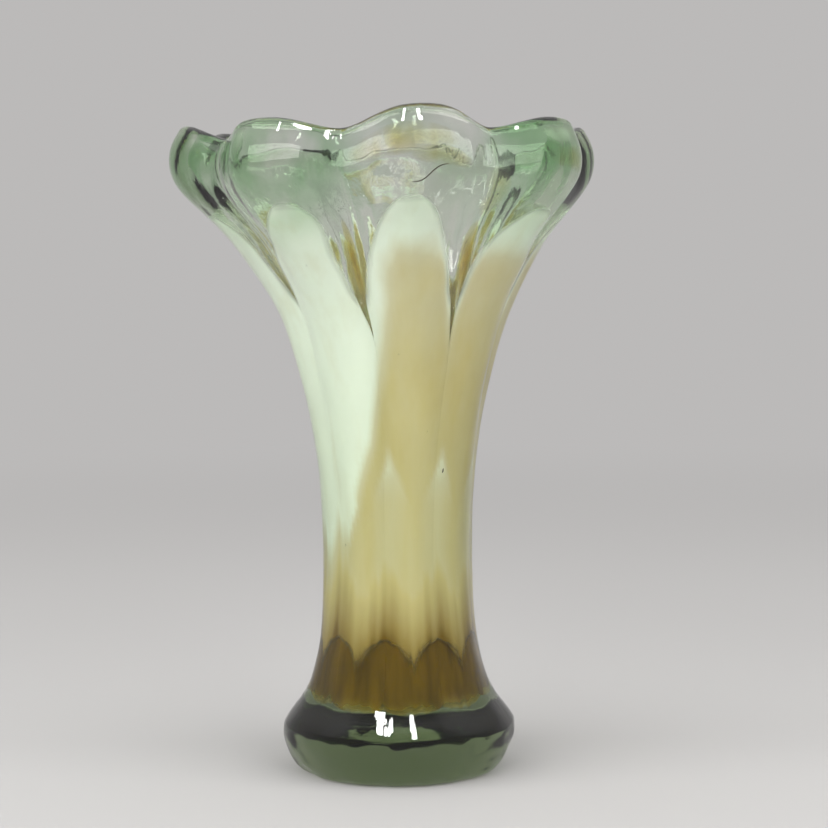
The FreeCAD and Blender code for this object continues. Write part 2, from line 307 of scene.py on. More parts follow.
class Spline:
    """Natural cubic spline through equally spaced values, as a function of the index."""

    def __init__(self, values):
        self.values = np.array(values, float)
        count = len(self.values)
        system = np.eye(count)
        bend = np.zeros(count)
        for index in range(1, count - 1):
            system[index, index - 1:index + 2] = (1.0, 4.0, 1.0)
            around = self.values[index - 1:index + 2]
            bend[index] = 6.0 * (around[0] - 2.0 * around[1] + around[2])
        self.moment = np.linalg.solve(system, bend)

    def __call__(self, place):
        place = np.asarray(place, float)
        index = np.clip(place.astype(int), 0, len(self.values) - 2)
        right = place - index
        left = 1.0 - right
        line = left * self.values[index] + right * self.values[index + 1]
        curl = (left ** 3 - left) * self.moment[index]
        curl += (right ** 3 - right) * self.moment[index + 1]
        return line + curl / 6.0


FOOT = [Spline(column) for column in zip(*FOOT_PROFILE)]
BODY = [Spline(column) for column in zip(*BODY_PROFILE)]
BODY_END = len(BODY_PROFILE) - 1
FINE_PLACES = np.linspace(0.0, BODY_END, 4001)


def place_of_height(height):
    """Index, with a fraction, of a height on the body's profile."""
    return np.interp(height, BODY[0](FINE_PLACES), FINE_PLACES)


def from_crest(angle):
    """Degrees from the nearest rib's crest, negative to its left."""
    return (angle - FIRST_CREST + RIB_PITCH / 2.0) % RIB_PITCH - RIB_PITCH / 2.0


def groove(angle):
    """0 on a rib's crest and 1 at the bottom of a groove."""
    wave = 0.5 - 0.5 * np.cos(np.radians(RIB_COUNT * (angle - FIRST_CREST)))
    return wave ** GROOVE_SHARPNESS


def lobe_value(values, angle):
    """Blend of the two lobes nearest an angle."""
    place = (angle - FIRST_CREST) / RIB_PITCH
    left = np.floor(place).astype(int)
    blend = smooth_step(place - left, 0.0, 1.0)
    values = np.array(values, float)
    first = values[left % RIB_COUNT]
    second = values[(left + 1) % RIB_COUNT]
    return first + (second - first) * blend


def outer_section(columns, place, angle):
    """(radius, height) of the outside at places on a profile and angles."""
    height = columns[0](place)
    hollow = groove(angle)
    lobe = smooth_step(height, LOBE_START_Z, LOBE_FULL_Z)
    radius = columns[1](place) - hollow * columns[2](place)
    radius = radius + lobe * lobe_value(LOBE_REACH, angle)
    lowered = height - hollow * columns[3](place)
    return radius, lowered + lobe * lobe_value(LOBE_RISE, angle)


def wall_frame(place, angle):
    """Outer point, outward normal and thickness of the wall, in its meridian plane."""
    step = 0.01
    low = np.maximum(place - step, 0.0)
    high = np.minimum(place + step, float(BODY_END))
    low_r, low_z = outer_section(BODY, low, angle)
    high_r, high_z = outer_section(BODY, high, angle)
    rise = high_z - low_z
    spread = (high_r - low_r) * smooth_step(low_z, *SQUARE_WALL)
    length = np.hypot(rise, spread)
    thickness = BODY[4](place) - GROOVE_THINNING * groove(angle) * BODY[2](place)
    radius, height = outer_section(BODY, place, angle)
    return radius, height, rise / length, -spread / length, thickness


def wall_point(place, angle, depth):
    """(radius, height) at a depth into the wall, measured from its inner face."""
    radius, height, normal_r, normal_z, thickness = wall_frame(place, angle)
    inward = thickness - depth
    return radius - inward * normal_r, height - inward * normal_z


def in_space(radius, height, angle):
    """Points in metres in the vase's frame, with the body's offset from the mouth."""
    offset = BODY_OFFSET_X * (1.0 - smooth_step(height, *OFFSET_ENDS))
    turn = np.radians(angle)
    x = offset + radius * np.sin(turn)
    y = -radius * np.cos(turn)
    return np.stack(np.broadcast_arrays(x, y, height), axis=-1) * MM


# ---- Hand made unevenness ----------------------------------------------------------------

def ripple(angle, height, seed, across=(3, 5, 9, 14), along=(0.013, 0.031, 0.052, 0.021)):
    """Smooth uneven waves round and up the wall, between about -1 and 1."""
    phases = np.random.default_rng(seed).uniform(0.0, 2.0 * math.pi, (len(across), 2))
    total = 0.0
    for (turn_phase, rise_phase), turns, rate in zip(phases, across, along):
        round_wave = np.sin(np.radians(turns * angle) + turn_phase)
        total = total + round_wave * np.sin(rate * height * 2.0 * math.pi + rise_phase)
    return total / 2.0


def beside_crest(angle, middle, width):
    """Soft bump on both flanks of every rib, middle degrees from its crest."""
    return np.exp(-((np.abs(from_crest(angle)) - middle) / width) ** 2)


def outer_relief(angle, height):
    """Millimetres that the hand made outer surface stands off its smooth form."""
    upper = smooth_step(height, *MOUTH_UNEVEN)
    lower = 1.0 - smooth_step(height, *FOOT_UNEVEN)
    waves = (WAVES[0] + WAVES[1] * upper + WAVES[2] * lower) * ripple(angle, height, WAVE_SEED)
    streaks = (STREAKS[0] + STREAKS[1] * upper) * ripple(angle, height, *STREAK_RIPPLE)
    flanks = upper * beside_crest(angle, *OUTER_FLANKS)
    flanks = flanks * lobe_value(LOBE_FOLDS, angle)
    folds = FOLD_HEIGHT * flanks * ripple(angle, height, *FOLD_RIPPLE)
    fold_line = FOLD_LINE_DEPTH * beside_crest(angle, RIB_PITCH / 2.0, FOLD_LINE_HALF)
    fold_line = fold_line * smooth_step(height, *FOLD_LINE_ENDS)
    return waves + streaks + folds - fold_line - OUTER_INSET


def inner_relief(angle, height):
    """The same for the inner surface, positive into the glass."""
    upper = smooth_step(height, *MOUTH_UNEVEN)
    flanks = upper * beside_crest(angle, *INNER_FLANKS)
    folds = INNER_FOLD_HEIGHT * flanks * ripple(angle, height, *INNER_FOLD_RIPPLE)
    waves = (INNER_WAVES[0] + INNER_WAVES[1] * upper) * ripple(angle, height, INNER_WAVE_SEED)
    return waves + folds + INNER_INSET


# ---- Mesh building -----------------------------------------------------------------------

def ring_faces(rows, ring_size, start=0):
    """Quads between closed rings of vertices, in order."""
    row = np.arange(rows - 1)[:, None] * ring_size + start
    here = np.arange(ring_size)[None, :]
    after = (here + 1) % ring_size
    quads = np.stack([row + here, row + after, row + ring_size + after,
                      row + ring_size + here], axis=-1)
    return quads.reshape(-1, 4).tolist()


def closed_rings(rings, start=0):
    """Vertices and faces of a closed skin through rings, with a point at each end."""
    rows, ring_size = rings.shape[:2]
    first = rings[0].mean(axis=0)
    last = rings[-1].mean(axis=0)
    vertices = np.concatenate([rings.reshape(-1, 3), first[None], last[None]])
    faces = ring_faces(rows, ring_size, start)
    low = start + rows * ring_size
    high = low + 1
    top = start + (rows - 1) * ring_size
    for here in range(ring_size):
        after = (here + 1) % ring_size
        faces.append([low, start + after, start + here])
        faces.append([high, top + here, top + after])
    return vertices, faces


def new_piece(name, vertices, faces, material, replaced):
    """Mesh object that rides on the vase and stands for some of its CAD nodes."""
    mesh = bpy.data.meshes.new(name)
    mesh.from_pydata(np.asarray(vertices).tolist(), [], faces)
    mesh.shade_smooth()
    piece = bpy.data.objects.new(name, mesh)
    bpy.context.scene.collection.objects.link(piece)
    mesh.materials.append(material)
    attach(piece, "root")
    if replaced:
        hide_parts(*replaced)
    return piece


def add_values(piece, name, values):
    """Gives each vertex a number that the material reads."""
    attribute = piece.data.attributes.new(name, "FLOAT", "POINT")
    attribute.data.foreach_set("value", np.asarray(values, np.float32).ravel())


# ---- Clear glass -------------------------------------------------------------------------

def glass_rings():
    """Rings from under the foot, up the outside, over the lip and down to the floor."""
    angles = np.arange(GLASS_ANGLES) * 360.0 / GLASS_ANGLES
    rings = []

    def add(radius, height):
        rings.append(in_space(*np.broadcast_arrays(radius, height, angles)))

    ball_r = (RECESS_R ** 2 + RECESS_DEPTH ** 2) / (2.0 * RECESS_DEPTH)
    for radius in np.linspace(CENTRE_RING_R, RECESS_R, RECESS_ROWS):
        add(radius, RECESS_DEPTH - ball_r + math.sqrt(ball_r ** 2 - radius ** 2))
    for radius in CONTACT_RINGS:
        add(radius, 0.0)
    foot_end = len(FOOT_PROFILE) - 1
    for place in np.linspace(0.0, foot_end, foot_end * FOOT_ROWS_PER_STATION + 1)[:-1]:
        radius, height = outer_section(FOOT, place, angles)
        settled = smooth_step(height, *FOOT_SETTLED)
        pressed = PRESSED_HEIGHT * ripple(angles, height, *PRESSED_RIPPLE)
        pressed = pressed + RING_MARK_HEIGHT * ripple(angles, height, *RING_MARK_RIPPLE)
        pressed = pressed * (1.0 - settled * PRESSED_LOSS)
        relief = settled * outer_relief(angles, height) + pressed
        add(radius + relief * (1.0 - smooth_step(height, *FOOT_SEAM_FADE)), height)
    for place in np.linspace(0.0, BODY_END, BODY_END * BODY_ROWS_PER_STATION + 1):
        radius, height, normal_r, normal_z, _ = wall_frame(place, angles)
        relief = outer_relief(angles, height)
        add(radius + relief * normal_r, height + relief * normal_z)
    radius, height, normal_r, normal_z, thickness = wall_frame(float(BODY_END), angles)
    outer = outer_relief(angles, height)
    inner = inner_relief(angles, height)
    for step in range(1, LIP_ROWS):
        turn = math.pi * step / LIP_ROWS
        share = step / LIP_ROWS
        round_r = thickness / 2.0
        swell = outer * (1.0 - share) * abs(math.cos(turn)) - inner * share * abs(math.cos(turn))
        reach = round_r + swell
        centre_r = radius - round_r * normal_r
        centre_z = height - round_r * normal_z
        out_r = math.cos(turn) * normal_r - math.sin(turn) * normal_z
        out_z = math.cos(turn) * normal_z + math.sin(turn) * normal_r
        add(centre_r + reach * out_r, centre_z + reach * out_z)
    heel_place = float(place_of_height(HEEL_START_Z))
    inner_rows = int((BODY_END - heel_place) * INNER_ROWS_PER_STATION)
    for place in np.linspace(BODY_END, heel_place, inner_rows + 1):
        settled = smooth_step(BODY[0](place), HEEL_START_Z, HEEL_START_Z + INNER_SETTLES)
        relief = settled * inner_relief(angles, BODY[0](place))
        add(*wall_point(place, angles, relief))
    radius, height = wall_point(heel_place, angles, 0.0)
    heel = [Spline(column) for column in zip((float(height.mean()), float(radius.mean())),
                                             *HEEL_PROFILE)]
    heel_end = len(HEEL_PROFILE)
    for place in np.linspace(0.0, heel_end, heel_end * HEEL_ROWS_PER_STATION + 1)[1:]:
        blend = 1.0 - smooth_step(place, 0.0, HEEL_ROUND_BY)
        add(heel[1](place) + blend * (radius - radius.mean()), heel[0](place))
    for radius in FLOOR_RINGS:
        add(radius, FLOOR_Z)
    return np.array(rings)


def bubble(centre, size, stretch, lean):
    """Rings of a small trapped bubble, an egg that leans along the wall."""
    turn = np.linspace(0.0, math.pi, BUBBLE_ROWS + 2)[1:-1][:, None]
    spin = (np.arange(BUBBLE_RING) * 2.0 * math.pi / BUBBLE_RING)[None, :]
    local = np.stack([size * np.sin(turn) * np.cos(spin),
                      size * np.sin(turn) * np.sin(spin),
                      size * stretch * np.cos(turn) + 0.0 * spin], axis=-1)
    local[..., 0] += local[..., 2] * lean[0]
    local[..., 1] += local[..., 2] * lean[1]
    return np.asarray(centre) + local * MM


def bubbles():
    """Bubbles caught in the wall, most of them in strings along the grooves."""
    draw = np.random.default_rng(21)
    made = []
    for _ in range(STRING_SEEDS):
        rib = draw.integers(0, RIB_COUNT)
        side = draw.choice([-1.0, 1.0])
        aside = side * abs(draw.normal(0.0, STRING_SPREAD))
        angle = FIRST_CREST + RIB_PITCH * (rib + 0.5) + aside
        made.append((angle, *(draw.uniform(*limits) for limits in STRING_RANGES)))
    for _ in range(STRAY_SEEDS):
        made.append(tuple(draw.uniform(*limits) for limits in STRAY_RANGES))
    made.append(LONG_BUBBLE)
    eggs = []
    for angle, height, share, size, stretch in made:
        place = float(place_of_height(height))
        radius, rise, normal_r, normal_z, thickness = wall_frame(place, angle)
        radius, rise = wall_point(place, angle, thickness * share)
        slope = -normal_z / max(normal_r, LEAST_OUTWARD)
        turn = math.radians(angle)
        lean = (slope * math.sin(turn), -slope * math.cos(turn))
        eggs.append(bubble(in_space(radius, rise, angle), size, stretch, lean))
    return eggs


def green_share(vertices):
    """How green the glass looks at points near the mouth: least in the front lobe."""
    x, y, height = vertices.T / MM
    x = x - BODY_OFFSET_X * (1.0 - smooth_step(height, *OFFSET_ENDS))
    angle = np.degrees(np.arctan2(x, -y))
    aside = smooth_step(np.abs(angle - FIRST_CREST), *GREEN_FROM_FRONT)
    aside = aside * (1.0 - BACK_GREEN_LOSS * smooth_step(np.abs(angle), *GREEN_TO_BACK))
    waves = ripple(angle, height, *GREEN_RIPPLE)
    green = GREEN_SHARES[0] + GREEN_SHARES[1] * aside + GREEN_SHARES[2] * waves
    return smooth_step(height, *GREEN_HEIGHTS) * np.clip(green, 0.0, 1.0)


def glass_body(material):
    """The fused clear glass of body and foot, one closed skin, with its bubbles.

    A bubble's skin faces inwards, away from the glass.
    """
    vertices, faces = closed_rings(glass_rings())
    for egg in bubbles():
        more, egg_faces = closed_rings(egg, len(vertices))
        vertices = np.concatenate([vertices, more])
        faces += [face[::-1] for face in egg_faces]
    piece = new_piece("clear_glass_body", vertices, faces, material,
                      ["clear_casing", "clear_foot"])
    add_values(piece, "green", green_share(vertices))


# ---- Petals ------------------------------------------------------------------------------

def petal_width(height, ends, shoulders, point):
    """Width of a petal at a height, 0 at its ends and 1 between its shoulders.

    The upper end is round. The lower end is rounder the higher point is above 1.
    """
    from_bottom = np.clip((height - ends[0]) / shoulders[0], 0.0, 1.0)
    from_top = np.clip((ends[1] - height) / shoulders[1], 0.0, 1.0)
    lower = 1.0 - (1.0 - from_bottom) ** point
    upper = np.sqrt(1.0 - (1.0 - from_top) ** 2)
    return lower * upper


def petal_rings(number, ends, shoulders, depths, merged_half, point):
    """Rings of a petal, with each point's angle and height and its distance to the edge."""
    bottom = ends[0]
    top = ends[1] + PETAL_TOP_VARIATION[number]
    share_up = 0.5 - 0.5 * np.cos(np.linspace(*PETAL_SPAN, PETAL_ROWS) * math.pi)
    height = (bottom + (top - bottom) * share_up)[:, None]
    turn = (np.arange(PETAL_RING) * 2.0 * math.pi / PETAL_RING)[None, :]
    width = petal_width(height, (bottom, top), shoulders, point)
    wobble = 1.0 + PETAL_WOBBLE * np.sin(height * WOBBLE_RATE + WOBBLE_STEP * number)
    wobble = wobble + (1.0 - wobble) * smooth_step(width, *WOBBLE_STOPS)
    crest = FIRST_CREST + RIB_PITCH * number
    to_tip = TIP_LEAN[number] - PETAL_LEAN[number]
    lean = PETAL_LEAN[number] + to_tip * smooth_step(height, *TIP_HEIGHTS)
    middle_angle = crest + lean * smooth_step(height, *LEAN_HEIGHTS)
    half = merged_half + (PETAL_HALF - merged_half) * smooth_step(height, *MERGED_BELOW)
    angle = middle_angle + half * width * wobble * np.cos(turn)
    middle = (depths[0] + depths[1]) / 2.0
    half_depth = (depths[1] - depths[0]) / 2.0
    bulge = np.sign(np.sin(turn)) * np.abs(np.sin(turn)) ** BULGE_SHAPE
    spread = HEEL_SPREAD * (1.0 - smooth_step(height, *HEEL_SPREAD_ENDS))
    depth = middle + spread + half_depth * np.sqrt(width) * bulge
    place = place_of_height(height)
    radius, rise = wall_point(place, angle, depth)
    rings = in_space(radius, rise, angle)
    heights = np.broadcast_to(height, angle.shape)
    side = (1.0 - np.abs(np.cos(turn))) * np.radians(PETAL_HALF * width) * radius
    edge = np.minimum(side, np.minimum(heights - bottom, top - heights))
    return rings, angle, heights, edge


def end_values(values):
    """Values for the vertices of closed_rings, with one more for each end point."""
    return np.concatenate([values.ravel(), [values[0].mean()], [values[-1].mean()]])


def heel_streaks(angle):
    """Upright streaks round the heel, between about -1 and 1."""
    return ripple(angle, *BROAD_STREAKS) + FINE_STRENGTH * ripple(angle, *FINE_STREAKS)


def cream_share(angle, height, edge):
    """Tone of the opal glass: 0 white, 0.24 pale, 0.5 cream, 0.8 tan and 1 brown.

    It goes by the angle, the height and the distance to the petal's edge.
    """
    angle = (angle + 180.0) % 360.0 - 180.0
    border = np.interp(height, CREAM_BORDER_Z, CREAM_BORDER_ANGLE)
    side = smooth_step(angle - border, *CREAM_SIDE_BLEND)
    side = side * (1.0 - smooth_step(angle, *CREAM_BACK_ANGLE))
    zigzag = np.abs(from_crest(angle - CREAM_ZIGZAG_SHIFT)) * 2.0 / RIB_PITCH
    lower = smooth_step(height - CREAM_LOW_Z - CREAM_ZIGZAG * zigzag, *CREAM_LOW_BLEND)
    free = smooth_step(height, *FREE_ABOVE)
    rim = 1.0 - free * (1.0 - smooth_step(edge, *WHITE_RIM))
    strength = CREAM_STRENGTH
    for low_end, high_end, loss in CREAM_FADES:
        strength = strength - loss * smooth_step(height, low_end, high_end)
    pale = PALE_TONE[0] + PALE_TONE[1] * side * (1.0 - zigzag)
    pale = pale * (1.0 - smooth_step(height, PALE_TOP[0] + PALE_TOP_MORE[0] * side,
                                     PALE_TOP[1] + PALE_TOP_MORE[1] * side))
    cream = CREAM_TONE * np.maximum(strength * side * lower * rim, pale)
    peak = smooth_step(np.abs(from_crest(angle)), *HEEL_PEAK_FLANK)
    above_heel = height - HEEL_PEAK * peak + HEEL_STREAK_HEIGHT * heel_streaks(angle)
    return np.maximum(cream, np.interp(above_heel, HEEL_TONE_Z, HEEL_TONE))


def opal_petal(number, material):
    """Opal white petal inside the wall of one rib."""
    rings, angle, heights, edge = petal_rings(
        number, OPAL_ENDS, OPAL_SHOULDERS, OPAL_DEPTHS, OPAL_MERGED_HALF, OPAL_POINT)
    vertices, faces = closed_rings(rings)
    piece = new_piece(f"opal_glass_petal_{number + 1}", vertices, faces, material,
                      [f"opal_petal_{number + 1}"])
    merged = smooth_step(heights, *OPAL_JOINS) * (1.0 - smooth_step(heights, *OPAL_PARTS))
    shown = smooth_step(heights + OPAL_START_STREAKS * heel_streaks(angle), *OPAL_START)
    ragged = OPAL_RAGGED[0] + OPAL_RAGGED[1] * heel_streaks(RAGGED_FINENESS * angle)
    ragged = ragged * (1.0 - smooth_step(heights, *OPAL_RAGGED_ENDS))
    solid = smooth_step(edge + FAR_FROM_EDGE * merged - ragged, *OPAL_SOFT_EDGE) * shown
    add_values(piece, "solid", end_values(solid))
    add_values(piece, "cream", end_values(cream_share(angle, heights, edge)))


def amber_petal(number, material):
    """Amber petal that backs an opal one and shows below it."""
    rings, angle, heights, edge = petal_rings(
        number, AMBER_ENDS, AMBER_SHOULDERS, AMBER_DEPTHS, AMBER_MERGED_HALF, AMBER_POINT)
    vertices, faces = closed_rings(rings)
    piece = new_piece(f"amber_glass_petal_{number + 1}", vertices, faces, material,
                      [f"amber_petal_{number + 1}"])
    merged = 1.0 - smooth_step(heights, *AMBER_PARTS)
    strength = smooth_step(edge + FAR_FROM_EDGE * merged, *AMBER_SOFT_EDGE)
    started = smooth_step(heights + AMBER_START_STREAKS * heel_streaks(angle), *AMBER_START)
    strength = strength * started
    thinner = sum(loss * smooth_step(heights, low_end, high_end)
                  for low_end, high_end, loss in AMBER_THINS)
    add_values(piece, "strength", end_values(strength * (1.0 - thinner)))


# ---- Small things caught in the glass ----------------------------------------------------

def in_wall(angle, height, share):
    """Point in metres at a share of the wall's thickness from its inner face."""
    place = place_of_height(height)
    thickness = wall_frame(place, angle)[4]
    return in_space(*wall_point(place, angle, thickness * share), angle)


def stain(name, angle, height, half_angle, half_height, share, material):
    """Faint cloud of amber in the clear wall, a thin closed disc that follows it."""
    turn = (np.arange(STAIN_RING) * 2.0 * math.pi / STAIN_RING)[None, :]
    roll = np.linspace(STAIN_ENDS, math.pi - STAIN_ENDS, STAIN_ROWS)[:, None]
    reach = np.sin(roll)
    angles = angle + half_angle * reach * np.cos(turn)
    heights = height + half_height * reach * np.sin(turn)
    shares = share + STAIN_HALF_THICK * np.cos(roll) + 0.0 * turn
    vertices, faces = closed_rings(in_wall(angles, heights, shares))
    piece = new_piece(name, vertices, faces, material, [])
    strength = np.broadcast_to((1.0 - reach) ** STAIN_FADE, angles.shape)
    add_values(piece, "strength", end_values(strength))


def thread(name, route, radius, material):
    """Thin dark stringer along a route of (angle, height) points, tapered at its ends."""
    angles, heights = (Spline(column) for column in zip(*route))
    places = np.linspace(0.0, len(route) - 1, THREAD_ROWS_PER_POINT * len(route))
    middle = in_wall(angles(places), heights(places), THREAD_SHARE)
    along = np.gradient(middle, axis=0)
    along = along / np.linalg.norm(along, axis=1)[:, None]
    side = np.cross(along, (0.0, 0.0, 1.0))
    side = side / np.linalg.norm(side, axis=1)[:, None]
    over = np.cross(side, along)
    turn = (np.arange(THREAD_RING) * 2.0 * math.pi / THREAD_RING)[None, :, None]
    share = places / places[-1]
    taper = np.sin(math.pi * share) ** THREAD_TAPER
    thick = radius * MM * (THREAD_END_THICK + (1.0 - THREAD_END_THICK) * taper)
    rings = middle[:, None] + thick[:, None, None] * (
        np.cos(turn) * side[:, None] + np.sin(turn) * over[:, None])
    vertices, faces = closed_rings(rings)
    new_piece(name, vertices, faces, material, [])


def inclusions(amber, deep_amber, dark):
    """Streaks between the petals, stains near the mouth, a dark stringer and a dark speck."""
    for streak in AMBER_STREAKS:
        stain(*streak, deep_amber)
    for cloud in AMBER_STAINS:
        stain(*cloud, amber)
    for line in DARK_THREADS:
        thread(*line, dark)


# ---- Materials ---------------------------------------------------------------------------

WHITE = (1.0, 1.0, 1.0, 1.0)
RIM_GREEN = (0.44, 0.70, 0.43, 1.0)
GLASS_IOR = 1.5
GREEN_ABSORPTION = (0.30, 0.42, 0.12, 1.0)
ABSORPTION_DENSITY = 33.0           # per metre
OPAL_TONES = (
    (0.0, (0.85, 0.92, 0.82, 1.0)),
    (0.24, (0.64, 0.605, 0.41, 1.0)),
    (0.5, (0.56, 0.475, 0.215, 1.0)),
    (0.8, (0.32, 0.235, 0.07, 1.0)),
    (1.0, (0.15, 0.088, 0.004, 1.0)),
)
OPAL_UNEVEN = 0.24                  # how far its streaks move the tone, in all
OPAL_SHADES = (0.88, 1.06)
DEEP_AMBER = (0.30, 0.17, 0.003, 1.0)
STAIN_AMBER = (0.80, 0.71, 0.38, 1.0)
STREAK_AMBER = (0.66, 0.47, 0.08, 1.0)
AMBER_SHARES = (0.0, 0.15, 0.35, 0.6, 1.0)
NOISE_RANGE = (0.3, 0.7)            # that most of a noise lies in
GREEN_PATCH_RANGE = (0.30, 0.55)

# Noises: waves per metre along x, y and z, and detail.
GREEN_PATCHES = ((42.0, 42.0, 30.0), 3.0)
SURFACE_RIPPLES = ((210.0, 210.0, 70.0), 3.0)
OPAL_STREAKS = ((120.0, 120.0, 14.0), 4.0)
OPAL_CLOUDS = ((45.0, 45.0, 22.0), 2.0)
AMBER_CLOUDS = ((130.0, 130.0, 60.0), 4.0)
AMBER_WISPS = ((160.0, 160.0, 28.0), 4.0)
DARK_MOTTLE = ((900.0, 900.0, 900.0), 2.0)

DARK_BROWN = ((0.035, 0.03, 0.02, 1.0), (0.10, 0.075, 0.03, 1.0))


def new_material(name):
    """Material with its nodes, its links and its Principled shader."""
    material = bpy.data.materials.new(name)
    material.use_nodes = True
    nodes = material.node_tree.nodes
    return material, nodes, material.node_tree.links, nodes["Principled BSDF"]


def eased(nodes, links, value, low, high):
    """0 to 1 as a value goes from low to high, as a socket."""
    ease = nodes.new("ShaderNodeMapRange")
    ease.interpolation_type = "SMOOTHSTEP"
    ease.inputs["From Min"].default_value = low
    ease.inputs["From Max"].default_value = high
    links.new(value, ease.inputs["Value"])
    return ease.outputs["Result"]


def carried(nodes, links, value, source, target):
    """A value carried evenly from one range to another, as a socket."""
    carry = nodes.new("ShaderNodeMapRange")
    carry.inputs["From Min"].default_value = source[0]
    carry.inputs["From Max"].default_value = source[1]
    carry.inputs["To Min"].default_value = target[0]
    carry.inputs["To Max"].default_value = target[1]
    links.new(value, carry.inputs["Value"])
    return carry.outputs["Result"]


def product(nodes, links, first, second):
    """Two sockets' values multiplied, as a socket."""
    multiply = nodes.new("ShaderNodeMath")
    multiply.operation = "MULTIPLY"
    links.new(first, multiply.inputs[0])
    links.new(second, multiply.inputs[1])
    return multiply.outputs[0]


def scaled(nodes, links, value, factor, extra):
    """A socket's value times a factor and plus an extra, as a socket."""
    scale = nodes.new("ShaderNodeMath")
    scale.operation = "MULTIPLY_ADD"
    scale.inputs[1].default_value = factor
    scale.inputs[2].default_value = extra
    links.new(value, scale.inputs[0])
    return scale.outputs[0]


def stretched_noise(nodes, links, scale, detail):
    """Noise in the vase's own space, stretched along its height."""
    place = nodes.new("ShaderNodeTexCoord")
    stretch = nodes.new("ShaderNodeMapping")
    stretch.inputs["Scale"].default_value = scale
    noise = nodes.new("ShaderNodeTexNoise")
    noise.inputs["Scale"].default_value = 1.0
    noise.inputs["Detail"].default_value = detail
    links.new(place.outputs["Object"], stretch.inputs["Vector"])
    links.new(stretch.outputs["Vector"], noise.inputs["Vector"])
    return noise.outputs["Fac"]


def blend(nodes, links, kind, first, second, share):
    """Output of a mix of two colours or sockets by a share or a socket."""
    mix = nodes.new("ShaderNodeMix")
    mix.data_type = "RGBA"
    mix.blend_type = kind
    for socket, value in ((mix.inputs[6], first), (mix.inputs[7], second), (mix.inputs[0], share)):
        if isinstance(value, bpy.types.NodeSocket):
            links.new(value, socket)
        else:
            socket.default_value = value
    return mix.outputs[2]


def ramp(nodes, links, value, tones):
    """Colour of a value on a ramp of (place, colour) tones from place 0 to place 1."""
    node = nodes.new("ShaderNodeValToRGB")
    elements = node.color_ramp.elements
    elements[0].color = tones[0][1]
    elements[1].color = tones[-1][1]
    for place, colour in tones[1:-1]:
        elements.new(place).color = colour
    links.new(value, node.inputs["Fac"])
    return node.outputs["Color"]


def attribute(nodes, name):
    """A vertex number that add_values gave."""
    node = nodes.new("ShaderNodeAttribute")
    node.attribute_name = name
    return node.outputs["Fac"]


def clear_glass_material():
    """Fire polished glass, faintly green where light goes a long way through it."""
    material, nodes, links, shader = new_material("clear_green_glass")
    patches = stretched_noise(nodes, links, *GREEN_PATCHES)
    patches = eased(nodes, links, patches, *GREEN_PATCH_RANGE)
    green = product(nodes, links, attribute(nodes, "green"), patches)
    links.new(blend(nodes, links, "MIX", WHITE, RIM_GREEN, green), shader.inputs["Base Color"])
    shader.inputs["Roughness"].default_value = 0.0
    shader.inputs["IOR"].default_value = GLASS_IOR
    shader.inputs["Transmission Weight"].default_value = 1.0
    bump = nodes.new("ShaderNodeBump")
    bump.inputs["Strength"].default_value = 0.08
    bump.inputs["Distance"].default_value = 0.0012
    links.new(stretched_noise(nodes, links, *SURFACE_RIPPLES), bump.inputs["Height"])
    links.new(bump.outputs["Normal"], shader.inputs["Normal"])
    absorb = nodes.new("ShaderNodeVolumeAbsorption")
    absorb.inputs["Color"].default_value = GREEN_ABSORPTION
    absorb.inputs["Density"].default_value = ABSORPTION_DENSITY
    links.new(absorb.outputs["Volume"], nodes["Material Output"].inputs["Volume"])
    return material


def opal_material():
    """Milky glass in the tones that cream_share gives, with soft upright streaks."""
    material, nodes, links, shader = new_material("opal_milk_glass")
    streaks = stretched_noise(nodes, links, *OPAL_STREAKS)
    tone = nodes.new("ShaderNodeMath")
    tone.operation = "ADD"
    links.new(attribute(nodes, "cream"), tone.inputs[0])
    links.new(scaled(nodes, links, streaks, OPAL_UNEVEN, -OPAL_UNEVEN / 2.0), tone.inputs[1])
    cloud = stretched_noise(nodes, links, *OPAL_CLOUDS)
    shade = carried(nodes, links, cloud, (0.0, 1.0), OPAL_SHADES)
    colour = ramp(nodes, links, tone.outputs[0], OPAL_TONES)
    links.new(blend(nodes, links, "MULTIPLY", colour, shade, 1.0), shader.inputs["Base Color"])
    shader.inputs["Roughness"].default_value = 0.6
    shader.inputs["IOR"].default_value = 1.0
    links.new(attribute(nodes, "solid"), shader.inputs["Alpha"])
    return material


def amber_material(name, deep, thinnest, milky):
    """Amber glass in a clear surround.

    The colour at a share of the full depth is the deep colour to the power of that share. Its
    clouds leave at least the thinnest share of the depth, and milky says how opaque and how
    streaked it is where it is deepest.
    """
    material, nodes, links, shader = new_material(name)
    cloud = stretched_noise(nodes, links, *AMBER_CLOUDS)
    uneven = carried(nodes, links, cloud, NOISE_RANGE, (thinnest, 1.0))
    depth = product(nodes, links, attribute(nodes, "strength"), uneven)
    tones = [(share, tuple(channel ** share for channel in deep)) for share in AMBER_SHARES]
    colour = ramp(nodes, links, depth, tones)
    wisps = stretched_noise(nodes, links, *AMBER_WISPS)
    shade = carried(nodes, links, wisps, NOISE_RANGE, (1.0 - milky, 1.0))
    links.new(blend(nodes, links, "MULTIPLY", colour, shade, depth), shader.inputs["Base Color"])
    clear = scaled(nodes, links, depth, -milky, 1.0)
    links.new(clear, shader.inputs["Transmission Weight"])
    shader.inputs["Roughness"].default_value = 0.0
    shader.inputs["IOR"].default_value = 1.0
    return material


def dark_glass_material():
    """Dark brown glass of the stringer and the speck."""
    material, nodes, links, shader = new_material("dark_brown_glass")
    mottle = stretched_noise(nodes, links, *DARK_MOTTLE)
    links.new(blend(nodes, links, "MIX", *DARK_BROWN, mottle), shader.inputs["Base Color"])
    shader.inputs["Roughness"].default_value = 0.35
    return material


# ---- Stage -------------------------------------------------------------------------------

